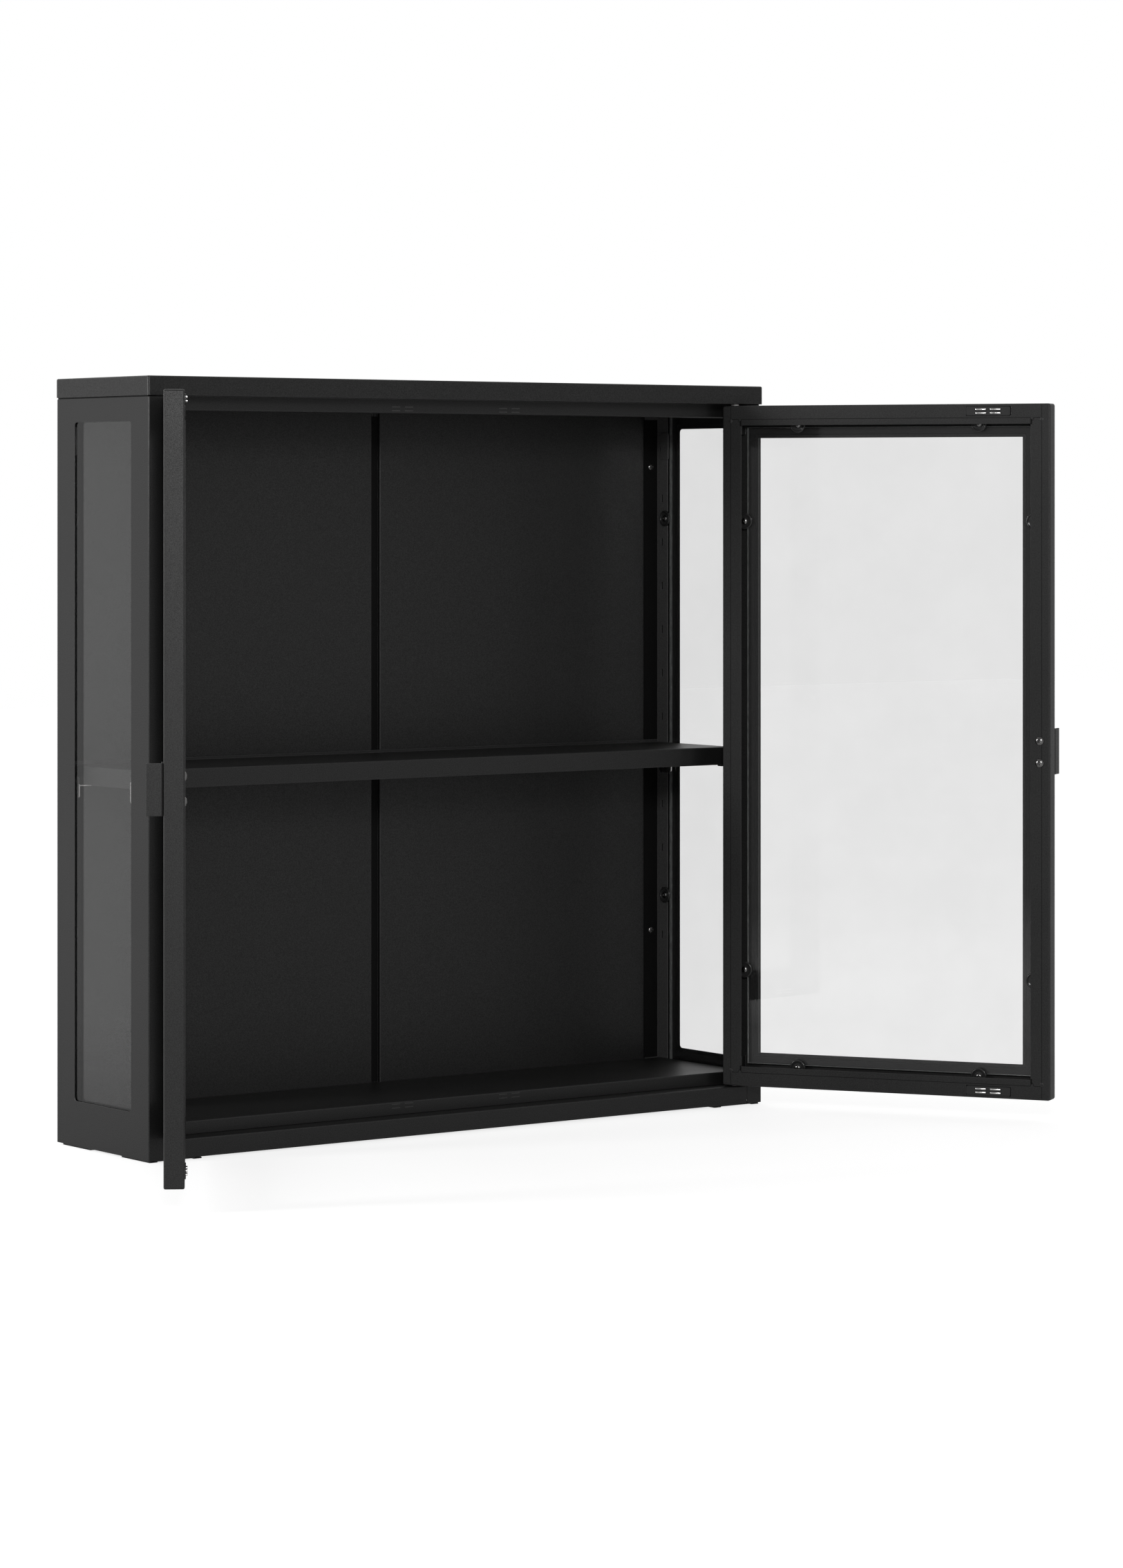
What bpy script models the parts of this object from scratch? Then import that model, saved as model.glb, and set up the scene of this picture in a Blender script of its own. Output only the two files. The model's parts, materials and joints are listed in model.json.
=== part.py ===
"""A wall cabinet in folded sheet steel, with two glazed doors, glazed sides and one adjustable shelf.

Metres, +Z up, +Y towards the wall. The origin is the middle of the rear face: the wall is the plane Y = 0,
the front is at Y = -DEPTH and the underside of the side panels at Z = -HEIGHT / 2. At rest both doors
stand wide open against the front flanges.
"""

import math

import bmesh
import bpy
from mathutils import Vector

# Whole cabinet
WIDTH = 0.800
HEIGHT = 0.800
DEPTH = 0.1844

# Sheet metal and fits
SHEET = 0.001
INSIDE_BEND = 0.0006  # inner radius of a fold
BEND_STEPS = 3
GAP = 0.0003  # between pieces that touch
RUNNING_GAP = 0.0003  # round a pivot pin
CORNER_STEPS = 3
MITRE = 0.0002  # smallest corner radius of a mitred frame
CUT_BEYOND = 0.002  # how far a cutter runs past the sheet it cuts
SMOOTH_BELOW = math.radians(32)  # edges that bend less are shaded smooth

# Top cap
CAP_HEIGHT = 0.020
CAP_OVERHANG = 0.0013
CAP_REVEAL = 0.0014
CAP_CORNER = 0.003

# Side panels: front flange, rear hem and window
FLANGE, FLANGE_CORNER, FLANGE_SEAM = 0.020, 0.0026, 0.0008
REAR_HEM = 0.022
SIDE_WINDOW_FRONT, SIDE_WINDOW_REAR = 0.035, 0.148
SIDE_WINDOW_LOW, SIDE_WINDOW_HIGH = 0.047, 0.754
SIDE_WINDOW_CORNER = 0.004
SIDE_GLASS_FRONT, SIDE_GLASS_REAR = 0.022, 0.161
SIDE_GLASS_LOW, SIDE_GLASS_HIGH = 0.030, 0.7715
GLASS = 0.004

# Base and header behind the doors
BASE_HEIGHT = 0.020
RETURN = 0.045
RISER_FACE = 0.0244
FLOOR_LEVEL = 0.034
FLOOR_REAR = 0.1775
HEADER_LOW = 0.765
HEADER_REAR = 0.040

# Slotted uprights, distances from the middle and behind the front
WEB_INNER = 0.3925
REAR_UPRIGHT_FRONT, REAR_UPRIGHT_REAR, REAR_UPRIGHT_FLANGE = 0.1618, 0.1818, 0.3744
FRONT_UPRIGHT_FRONT, FRONT_UPRIGHT_REAR, FRONT_UPRIGHT_FLANGE = 0.0257, 0.0344, 0.3795
SLOT_WIDTH, SLOT_HEIGHT = 0.0024, 0.0086
SLOT_PITCH, SLOT_FIRST, SLOT_COUNT = 0.050, 0.175, 11
REAR_SLOT, FRONT_SLOT = 0.1724, 0.0302
HANGING_HOLE_RADIUS, HANGING_HOLE_LEVEL = 0.00435, 0.732

# Corner plates
PLATE_FRONT, PLATE_LOW, PLATE_HIGH = 0.159, 0.7196, 0.7496
PLATE_THICKNESS, PLATE_CORNER = 0.0015, 0.0012

# Back: two pans and the strip behind their joint
PAN_FACE = 0.178
PAN_INNER_EDGE, PAN_OUTER_EDGE = 0.0051, 0.3712
PAN_FLANGE_REAR = 0.1831
STRIP_HALF_WIDTH = 0.020

# Shelf and its clips
SHELF_TOP, SHELF_THICKNESS = 0.396, 0.020
SHELF_FRONT, SHELF_REAR = 0.041, 0.176
SHELF_HALF_LENGTH = 0.3896
SHELF_CORNER = 0.0015
SHELF_LIP, SHELF_LIP_FROM_ENDS, SHELF_LIP_FROM_REAR = 0.003, 0.003, 0.0018
CLIP_SLOT = 0.375
CLIP_REACH, CLIP_THICKNESS, CLIP_CORNER = 0.0195, 0.0018, 0.0035
CLIP_DROP, CLIP_RISE = 0.014, 0.010
CLIP_LEDGE, CLIP_LEDGE_THICKNESS = 0.014, 0.0015
CLIP_TONGUE = 0.0015

# Doors, measured from the hinge edge, the outer face and the underside of the cabinet
DOOR_HINGE_EDGE = 0.3773
DOOR_WIDTH = 0.3768
DOOR_LOW, DOOR_HIGH = 0.0215, 0.778
DOOR_THICKNESS = 0.020
DOOR_FLANGE = 0.022
DOOR_MARGIN = 0.036
DOOR_HEM = 0.0035
DOOR_CORNER = 0.0025
DOOR_OPEN = math.radians(122)
PIVOT_FROM_EDGE, PIVOT_BEHIND_FACE = 0.0098, 0.0067
PANE_INSET, PANE_FRONT = 0.024, 0.0023
PIVOT_BLOCK_WIDTH, PIVOT_BLOCK_HEIGHT, PIVOT_BLOCK_DEPTH = 0.020, 0.032, 0.0124

# Pivot pins
PIN_RADIUS, PIN_HEAD_RADIUS, PIN_HEAD = 0.003, 0.005, 0.0022
PIN_CHAMFER = 0.0006
PIN_IN_DOOR, HOLE_PAST_PIN = 0.0105, 0.0015
PIN_STEPS = 24
WASHER_RADIUS = 0.0045

# Magnet catches
MAGNET_LENGTH, MAGNET_HEIGHT, MAGNET_DEPTH = 0.050, 0.0096, 0.008
MAGNET_CORNER = 0.0015
MAGNET_FROM_FREE_EDGE, MAGNET_INSET = 0.0695, 0.008
POLE_LENGTH, POLE_WIDTH, POLE_PROUD = 0.0117, 0.0016, 0.0025
POLE_PITCH, POLE_SPREAD = 0.0040, 0.0167

# Glass retainers in the doors
RETAINER_INSET = 0.0215
RETAINER_FROM_CORNER = 0.1285
RETAINER_FROM_END = 0.084
RETAINER_STEPS = 14
BOSS_RADIUS = 0.0018
DISC_RADIUS, DISC_TOP_RADIUS, DISC_EDGE, DISC_HEIGHT = 0.0090, 0.0080, 0.0018, 0.0025
SCREW_RADIUS, SCREW_SHOULDER_RADIUS, SCREW_TOP_RADIUS = 0.0036, 0.0030, 0.0014
SCREW_SHOULDER, SCREW_TOP = 0.0040, 0.0045

# Handle
HANDLE_HEIGHT, HANDLE_SHEET = 0.050, 0.0018
HANDLE_REACH, HANDLE_FLANGE = 0.0165, 0.026
HANDLE_MIDDLE = 0.3995

# Feet
FOOT_INNER, FOOT_OUTER = 0.335, 0.3975
FOOT_RIB, FOOT_PLATE, FOOT_DROP = 0.0095, 0.0008, 0.0020
FOOT_LENGTH = 0.056
FOOT_FRONTS = {"front": 0.002, "rear": 0.120}

# Finishes: colour, roughness, metallic, transmission
FINISHES = {
    "black_steel": ((0.022, 0.022, 0.023, 1), 0.46, 0.0, 0.0),
    "glass": ((0.90, 0.95, 0.93, 1), 0.02, 0.0, 1.0),
    "bright_steel": ((0.62, 0.62, 0.61, 1), 0.25, 1.0, 0.0),
    "black_plastic": ((0.018, 0.018, 0.019, 1), 0.40, 0.0, 0.0),
    "nylon": ((0.78, 0.77, 0.73, 1), 0.45, 0.0, 0.0),
}


def behind_front(distance):
    """Y of a point this far behind the front face."""
    return distance - DEPTH


def above_base(height):
    """Z of a point this far above the underside of the side panels."""
    return height - HEIGHT / 2


# Outlines


def bent_sheet(path, thickness=SHEET, inside_bend=INSIDE_BEND):
    """Outline of a folded sheet whose middle line follows path, with rounded bends."""
    points = [Vector(point) for point in path]
    radius = inside_bend + thickness / 2
    left, right = [], []

    def add(point, normal):
        left.append(point + normal * thickness / 2)
        right.append(point - normal * thickness / 2)

    for index, point in enumerate(points):
        before = (point - points[index - 1]).normalized() if index else None
        after = (points[index + 1] - point).normalized() if index + 1 < len(points) else None
        if before is None or after is None:
            add(point, (before or after).orthogonal())
            continue
        turn = math.atan2(before.cross(after), before.dot(after))
        side = math.copysign(1, turn)
        start = point - before * radius * math.tan(abs(turn) / 2)
        centre = start + before.orthogonal() * side * radius
        for step in range(BEND_STEPS + 1):
            angle = turn * step / BEND_STEPS
            cosine, sine = math.cos(angle), math.sin(angle)
            heading = Vector((before.x * cosine - before.y * sine, before.x * sine + before.y * cosine))
            add(centre - heading.orthogonal() * side * radius, heading.orthogonal())
    return left + right[::-1]


def rounded_rectangle(low, high, radius, steps=CORNER_STEPS):
    """Corner points of a rectangle with round corners, anticlockwise."""
    points = []
    centres = (
        (high[0] - radius, high[1] - radius),
        (low[0] + radius, high[1] - radius),
        (low[0] + radius, low[1] + radius),
        (high[0] - radius, low[1] + radius),
    )
    for corner, (x, y) in enumerate(centres):
        for step in range(steps + 1):
            angle = math.pi / 2 * (corner + step / steps)
            points.append((x + radius * math.cos(angle), y + radius * math.sin(angle)))
    return points


def circle(radius, steps):
    return [
        (radius * math.cos(2 * math.pi * step / steps), radius * math.sin(2 * math.pi * step / steps))
        for step in range(steps)
    ]


# Shapes: each is a bmesh


def loft(rings, closed=False):
    """Skin over rings of equal length: a tube with both ends filled or, if closed, a loop of rings."""
    shape = bmesh.new()
    rows = [[shape.verts.new(point) for point in ring] for ring in rings]
    count = len(rows[0])
    for index in range(len(rows) if closed else len(rows) - 1):
        row, following = rows[index], rows[(index + 1) % len(rows)]
        for k in range(count):
            shape.faces.new((row[k], row[(k + 1) % count], following[(k + 1) % count], following[k]))
    if not closed:
        shape.faces.new(rows[0][::-1])
        shape.faces.new(rows[-1])
    return shape


def prism(outline, axis, start, end):
    """Outline drawn out along an axis: its two coordinates are the other two axes in X, Y, Z order."""
    place = {
        "X": lambda point, along: (along, point[0], point[1]),
        "Y": lambda point, along: (point[0], along, point[1]),
        "Z": lambda point, along: (point[0], point[1], along),
    }[axis]
    return loft([[place(point, along) for point in outline] for along in (start, end)])


def block(low, high):
    outline = ((low[0], low[1]), (high[0], low[1]), (high[0], high[1]), (low[0], high[1]))
    return prism(outline, "Z", low[2], high[2])


def turned(profile, axis, steps):
    """Solid of revolution about an axis through the origin, from (radius, distance along it) pairs."""
    place = {
        "Y": lambda point, along: (point[0], along, point[1]),
        "Z": lambda point, along: (point[0], point[1], along),
    }[axis]
    return loft([[place(point, along) for point in circle(radius, steps)] for radius, along in profile])


def bore(axis, centre, radius, start, end, steps=PIN_STEPS):
    """Round cutter along an axis, whose flats clear a circle of this radius."""
    outline = circle(radius / math.cos(math.pi / steps), steps)
    return prism([(x + centre[0], y + centre[1]) for x, y in outline], axis, start, end)


def gathered(shapes):
    """Several separate shapes in one bmesh, as a cutter takes them."""
    whole = bmesh.new()
    for shape in shapes:
        mesh = bpy.data.meshes.new("gathered")
        shape.to_mesh(mesh)
        shape.free()
        whole.from_mesh(mesh)
        bpy.data.meshes.remove(mesh)
    return whole


def open_box(low, high, height, corner, thickness=SHEET, fold=INSIDE_BEND + SHEET):
    """Lid of folded sheet, open below: outline corners low and high, top at height[1], rim at height[0]."""
    rim, top = height

    def ring(inset, level):
        inner_low = (low[0] + inset, low[1] + inset)
        inner_high = (high[0] - inset, high[1] - inset)
        radius = max(corner - inset, MITRE)
        return [(x, y, level) for x, y in rounded_rectangle(inner_low, inner_high, radius)]

    def rounding(step):
        angle = math.pi / 2 * step / BEND_STEPS
        return fold * (1 - math.cos(angle)), top - fold + fold * math.sin(angle)

    outside = [ring(0, rim)] + [ring(*rounding(step)) for step in range(BEND_STEPS + 1)]
    inside = [ring(thickness, rim), ring(thickness, top - thickness)]
    return loft(outside[::-1] + inside)


# Objects


def clear_scene():
    for thing in list(bpy.data.objects):
        bpy.data.objects.remove(thing)


def finish_material(name, finish):
    colour, roughness, metallic, transmission = FINISHES[finish]
    material = bpy.data.materials.new(name)
    material.use_nodes = True
    shader = material.node_tree.nodes["Principled BSDF"]
    shader.inputs["Base Color"].default_value = colour
    shader.inputs["Roughness"].default_value = roughness
    shader.inputs["Metallic"].default_value = metallic
    shader.inputs["Transmission Weight"].default_value = transmission
    return material


def put(name, shape, finish=None, side=1, location=(0, 0, 0), parent=None):
    """Object made from a shape, mirrored to the left where side is -1."""
    bmesh.ops.scale(shape, vec=(side, 1, 1), verts=shape.verts)
    bmesh.ops.recalc_face_normals(shape, faces=shape.faces)
    mesh = bpy.data.meshes.new(name)
    shape.to_mesh(mesh)
    shape.free()
    mesh.shade_smooth()
    mesh.set_sharp_from_angle(angle=SMOOTH_BELOW)
    thing = bpy.data.objects.new(name, mesh)
    thing.location = location
    thing.parent = parent
    bpy.context.scene.collection.objects.link(thing)
    if finish:
        mesh.materials.append(finish_material(name, finish))
    return thing


def combine(thing, shape, operation, side=1):
    """Boolean with a shape given in the object's own frame."""
    count = len(thing.modifiers) + 1
    tool = put(f"{thing.name}_tool_{count}", shape, side=side, location=thing.location, parent=thing.parent)
    tool.hide_render = True
    tool.display_type = "WIRE"
    modifier = thing.modifiers.new(f"{operation.lower()}_{count}", "BOOLEAN")
    modifier.operation = operation
    modifier.solver = "EXACT"
    modifier.object = tool


def sided(side):
    return "right" if side > 0 else "left"


# The carcase


def make_top_cap():
    low = (-WIDTH / 2 - CAP_OVERHANG, behind_front(-CAP_OVERHANG))
    high = (WIDTH / 2 + CAP_OVERHANG, 0)
    levels = (above_base(HEIGHT - CAP_HEIGHT), above_base(HEIGHT))
    put("top_cap", open_box(low, high, levels, CAP_CORNER), "black_steel")


def pivot_x():
    """Distance of each hinge axis from the middle of the cabinet."""
    return DOOR_HINGE_EDGE - PIVOT_FROM_EDGE


def pin_holes(low, high):
    """Cutters for the left and right pivot pins through a sheet between two levels."""
    centre_y = behind_front(PIVOT_BEHIND_FACE)
    radius = PIN_RADIUS + RUNNING_GAP
    return gathered([bore("Z", (side * pivot_x(), centre_y), radius, low, high) for side in (-1, 1)])


def header_level():
    """Underside of the header's upper flange, just inside the cap."""
    return above_base(HEIGHT - CAP_HEIGHT) + GAP


def make_header_rail():
    """Z-shaped rail under the cap: its upper flange carries the upper pins and its face stops the doors."""
    upper = header_level() + SHEET / 2
    lower = above_base(HEADER_LOW) + SHEET / 2
    face = behind_front(RISER_FACE) + SHEET / 2
    path = (
        (behind_front(SHEET * 2), upper),
        (face, upper),
        (face, lower),
        (behind_front(HEADER_REAR), lower),
    )
    half = WEB_INNER + SHEET + GAP
    rail = put("header_rail", prism(bent_sheet(path), "X", -half, half), "black_steel")
    combine(rail, pin_holes(upper - SHEET, upper + SHEET), "DIFFERENCE")


def make_base_rail():
    """Front of the base: a C-shaped fold whose top is the ledge under the doors."""
    lower = above_base(SHEET / 2)
    upper = above_base(BASE_HEIGHT - SHEET / 2)
    front = behind_front(SHEET / 2)
    rear = behind_front(RETURN)
    half = WIDTH / 2 - FLANGE - FLANGE_SEAM
    path = ((rear, lower), (front, lower), (front, upper), (rear, upper))
    rail = put("base_rail", prism(bent_sheet(path), "X", -half, half), "black_steel")
    combine(rail, pin_holes(upper - SHEET, upper + SHEET), "DIFFERENCE")


def make_floor_tray():
    """Riser behind the doors, floor of the cabinet and the rear wall of the base, in one folded sheet."""
    riser = behind_front(RISER_FACE) + SHEET / 2
    floor = above_base(FLOOR_LEVEL) - SHEET / 2
    rear = behind_front(FLOOR_REAR) - SHEET / 2
    bottom = above_base(SHEET / 2)
    path = (
        (riser, above_base(BASE_HEIGHT) + GAP),
        (riser, floor),
        (rear, floor),
        (rear, bottom),
        (rear - RETURN, bottom),
    )
    half = WEB_INNER - GAP * 2
    put("floor_tray", prism(bent_sheet(path), "X", -half, half), "black_steel")


def flange_corner():
    """Cutter that rounds the lower inner corner of a front flange."""
    edge, low = WIDTH / 2 - FLANGE, above_base(0)
    arc = []
    for step in range(CORNER_STEPS + 1):
        angle = math.pi / 2 * step / CORNER_STEPS
        across = FLANGE_CORNER * (1 - math.cos(angle))
        up = FLANGE_CORNER * (1 - math.sin(angle))
        arc.append((edge + across, low + up))
    outside = (
        (arc[-1][0], low - CUT_BEYOND),
        (edge - CUT_BEYOND, low - CUT_BEYOND),
        (edge - CUT_BEYOND, arc[0][1]),
    )
    return prism([*arc, *outside], "Y", behind_front(-CUT_BEYOND), behind_front(SHEET + CUT_BEYOND))


def make_side_panel(side):
    """Front flange, glazed side and rear hem."""
    skin = WIDTH / 2 - SHEET / 2
    front = behind_front(SHEET / 2)
    rear = -SHEET / 2
    path = ((WIDTH / 2 - FLANGE, front), (skin, front), (skin, rear), (WIDTH / 2 - REAR_HEM, rear))
    top = above_base(HEIGHT - CAP_HEIGHT - CAP_REVEAL)
    panel = prism(bent_sheet(path), "Z", above_base(0), top)
    thing = put(f"{sided(side)}_side_panel", panel, "black_steel", side)
    low = (behind_front(SIDE_WINDOW_FRONT), above_base(SIDE_WINDOW_LOW))
    high = (behind_front(SIDE_WINDOW_REAR), above_base(SIDE_WINDOW_HIGH))
    opening = rounded_rectangle(low, high, SIDE_WINDOW_CORNER)
    window = prism(opening, "X", WIDTH / 2 - SHEET - CUT_BEYOND, WIDTH / 2 + CUT_BEYOND)
    combine(thing, window, "DIFFERENCE", side)
    combine(thing, flange_corner(), "DIFFERENCE", side)


def make_side_glass(side):
    outer = WIDTH / 2 - SHEET - GAP * 2
    low = (outer - GLASS, behind_front(SIDE_GLASS_FRONT), above_base(SIDE_GLASS_LOW))
    high = (outer, behind_front(SIDE_GLASS_REAR), above_base(SIDE_GLASS_HIGH))
    put(f"{sided(side)}_side_glass", block(low, high), "glass", side)


def slots(distance):
    """Cutter for one row of shelf slots through an upright's web."""
    cutters = []
    for index in range(SLOT_COUNT):
        middle = above_base(SLOT_FIRST + SLOT_PITCH * index)
        half_width, half_height = SLOT_WIDTH / 2, SLOT_HEIGHT / 2
        low = (WEB_INNER - CUT_BEYOND, behind_front(distance) - half_width, middle - half_height)
        high = (WEB_INNER + SHEET + CUT_BEYOND, behind_front(distance) + half_width, middle + half_height)
        cutters.append(block(low, high))
    return cutters


def make_rear_upright(side):
    """Slotted web beside the glass and the flange that holds the back, with the hanging hole at the top."""
    web = WEB_INNER + SHEET / 2
    flange = behind_front(REAR_UPRIGHT_REAR) - SHEET / 2
    path = ((web, behind_front(REAR_UPRIGHT_FRONT)), (web, flange), (REAR_UPRIGHT_FLANGE, flange))
    shape = prism(bent_sheet(path), "Z", above_base(SHEET), above_base(DOOR_HIGH))
    thing = put(f"{sided(side)}_rear_upright", shape, "black_steel", side)
    centre = (behind_front(REAR_SLOT), above_base(HANGING_HOLE_LEVEL))
    hole = bore("X", centre, HANGING_HOLE_RADIUS, WEB_INNER - CUT_BEYOND, WEB_INNER + SHEET + CUT_BEYOND)
    combine(thing, gathered([*slots(REAR_SLOT), hole]), "DIFFERENCE", side)


def make_front_upright(side):
    """Slotted web behind the hinge stile and the flange that stiffens it."""
    web = WEB_INNER + SHEET / 2
    flange = behind_front(FRONT_UPRIGHT_FRONT) + SHEET / 2
    path = ((FRONT_UPRIGHT_FLANGE, flange), (web, flange), (web, behind_front(FRONT_UPRIGHT_REAR)))
    low = above_base(FLOOR_LEVEL) + GAP
    high = above_base(HEADER_LOW) - GAP
    thing = put(f"{sided(side)}_front_upright", prism(bent_sheet(path), "Z", low, high), "black_steel", side)
    combine(thing, gathered(slots(FRONT_SLOT)), "DIFFERENCE", side)


def make_back(side):
    """One pan of the back: its face stands forward of the flanges at both edges."""
    face = behind_front(PAN_FACE) + SHEET / 2
    flange = behind_front(PAN_FLANGE_REAR) - SHEET / 2
    path = (
        (WEB_INNER, flange),
        (PAN_OUTER_EDGE - SHEET / 2, flange),
        (PAN_OUTER_EDGE - SHEET / 2, face),
        (PAN_INNER_EDGE + SHEET / 2, face),
        (PAN_INNER_EDGE + SHEET / 2, flange),
        (GAP, flange),
    )
    shape = prism(bent_sheet(path), "Z", above_base(SHEET), above_base(DOOR_HIGH))
    put(f"{sided(side)}_back_pan", shape, "black_steel", side)


def make_joint_strip():
    """Flat strip behind the joint of the two pans: the middle of the rear face."""
    low = (-STRIP_HALF_WIDTH, -SHEET, above_base(SHEET))
    high = (STRIP_HALF_WIDTH, 0, above_base(DOOR_HIGH))
    put("back_joint_strip", block(low, high), "black_steel")


def make_corner_plate(side):
    """Stiffening plate inside each upper rear corner, half over the hanging hole."""
    low = (behind_front(PLATE_FRONT), above_base(PLATE_LOW))
    high = (behind_front(REAR_SLOT), above_base(PLATE_HIGH))
    outline = rounded_rectangle(low, high, PLATE_CORNER, 2)
    plate = prism(outline, "X", WEB_INNER - GAP - PLATE_THICKNESS, WEB_INNER - GAP)
    put(f"{sided(side)}_corner_plate", plate, "black_steel", side)


def make_foot(side, end):
    """Moulded pad under a corner: two ribs joined by a thin plate."""
    top, bottom = above_base(-GAP), above_base(-FOOT_DROP)
    under_plate = top - FOOT_PLATE
    outline = (
        (FOOT_INNER, top),
        (FOOT_OUTER, top),
        (FOOT_OUTER, bottom),
        (FOOT_OUTER - FOOT_RIB, bottom),
        (FOOT_OUTER - FOOT_RIB, under_plate),
        (FOOT_INNER + FOOT_RIB, under_plate),
        (FOOT_INNER + FOOT_RIB, bottom),
        (FOOT_INNER, bottom),
    )
    front = behind_front(FOOT_FRONTS[end])
    shape = prism(outline, "Y", front, front + FOOT_LENGTH)
    put(f"{end}_{sided(side)}_foot", shape, "black_plastic", side)


def make_pin(side, end):
    """Shouldered pivot pin: the head lies behind the sheet that carries it, the shank enters the door."""
    outward = -1 if end == "upper" else 1
    if end == "upper":
        seat = header_level() + SHEET + GAP
        tip = above_base(DOOR_HIGH) - PIN_IN_DOOR
    else:
        seat = above_base(BASE_HEIGHT - SHEET) - GAP
        tip = above_base(DOOR_LOW) + PIN_IN_DOOR
    length = abs(tip - seat)
    profile = (
        (PIN_HEAD_RADIUS - PIN_CHAMFER, -outward * PIN_HEAD),
        (PIN_HEAD_RADIUS, -outward * (PIN_HEAD - PIN_CHAMFER)),
        (PIN_HEAD_RADIUS, 0),
        (PIN_RADIUS, 0),
        (PIN_RADIUS, outward * (length - PIN_CHAMFER)),
        (PIN_RADIUS - PIN_CHAMFER, outward * length),
    )
    place = (side * pivot_x(), behind_front(PIVOT_BEHIND_FACE), seat)
    put(f"{sided(side)}_{end}_pin", turned(profile, "Z", PIN_STEPS), "bright_steel", location=place)


def make_washer(side, end):
    """Washer on a pivot pin, between the door and the sheet that carries the pin."""
    if end == "upper":
        levels = (above_base(DOOR_HIGH) + GAP, header_level() - GAP)
    else:
        levels = (above_base(BASE_HEIGHT) + GAP, above_base(DOOR_LOW) - GAP)
    inner = PIN_RADIUS + RUNNING_GAP * 2
    corners = (
        (inner, levels[0]),
        (WASHER_RADIUS, levels[0]),
        (WASHER_RADIUS, levels[1]),
        (inner, levels[1]),
    )
    rings = [[(x, y, level) for x, y in circle(radius, PIN_STEPS)] for radius, level in corners]
    place = (side * pivot_x(), behind_front(PIVOT_BEHIND_FACE), 0)
    put(f"{sided(side)}_{end}_washer", loft(rings, closed=True), "nylon", location=place)


# The shelf


def make_shelf():
    low = (-SHELF_HALF_LENGTH, behind_front(SHELF_FRONT))
    high = (SHELF_HALF_LENGTH, behind_front(SHELF_REAR))
    top = above_base(SHELF_TOP)
    shape = open_box(low, high, (top - SHELF_THICKNESS, top), SHELF_CORNER)
    shelf = put("shelf", shape, "black_steel")
    lip_rear = high[1] - SHELF_LIP_FROM_REAR
    lip_low = (low[0] + SHELF_LIP_FROM_ENDS, lip_rear - SHEET, top - SHEET / 2)
    lip_high = (high[0] - SHELF_LIP_FROM_ENDS, lip_rear, top + SHELF_LIP)
    combine(shelf, block(lip_low, lip_high), "UNION")


def make_shelf_clip(side, end):
    """Clip hooked into a slot: a plate on the web, a ledge under the shelf and a tongue in the slot."""
    reach = -1 if end == "rear" else 1
    low_y, high_y = sorted((reach * CLIP_REACH, -reach * SLOT_WIDTH))
    outer = -GAP
    inner = outer - CLIP_THICKNESS
    plate = rounded_rectangle((low_y, -CLIP_DROP), (high_y, CLIP_RISE), CLIP_CORNER)
    distance = REAR_SLOT if end == "rear" else FRONT_SLOT
    place = (side * WEB_INNER, behind_front(distance), above_base(CLIP_SLOT))
    name = f"{end}_{sided(side)}_shelf_clip"
    clip = put(name, prism(plate, "X", inner, outer), "bright_steel", side, place)
    ledge_top = SHELF_TOP - SHELF_THICKNESS - CLIP_SLOT - GAP
    ledge_low = (inner - CLIP_LEDGE, low_y + SHEET / 2, ledge_top - CLIP_LEDGE_THICKNESS)
    ledge_high = (inner + SHEET, high_y - SHEET / 2, ledge_top)
    combine(clip, block(ledge_low, ledge_high), "UNION", side)
    half_width = SLOT_WIDTH / 2 - GAP
    half_height = SLOT_HEIGHT / 2 - GAP * 2
    tongue = block((outer - SHEET, -half_width, -half_height), (CLIP_TONGUE, half_width, half_height))
    combine(clip, tongue, "UNION", side)


# The doors. Their shapes are those of the right door, closed, seen from its hinge axis.


def from_hinge(distance):
    """X of a point this far from the hinge edge of the right door."""
    return PIVOT_FROM_EDGE - distance


def from_face(distance):
    """Y of a point this far behind the door's outer face."""
    return distance - PIVOT_BEHIND_FACE


def door_section():
    """Section through one member: (distance in from the edge, distance behind the outer face)."""
    half = SHEET / 2
    path = (
        (DOOR_MARGIN, half),
        (half, half),
        (half, DOOR_THICKNESS - half),
        (DOOR_FLANGE, DOOR_THICKNESS - half),
    )
    hem = (
        Vector((DOOR_MARGIN - DOOR_HEM, SHEET)),
        Vector((DOOR_MARGIN - DOOR_HEM, SHEET * 2)),
        Vector((DOOR_MARGIN, SHEET * 2)),
    )
    return [*bent_sheet(path)[:-1], *hem]


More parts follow.
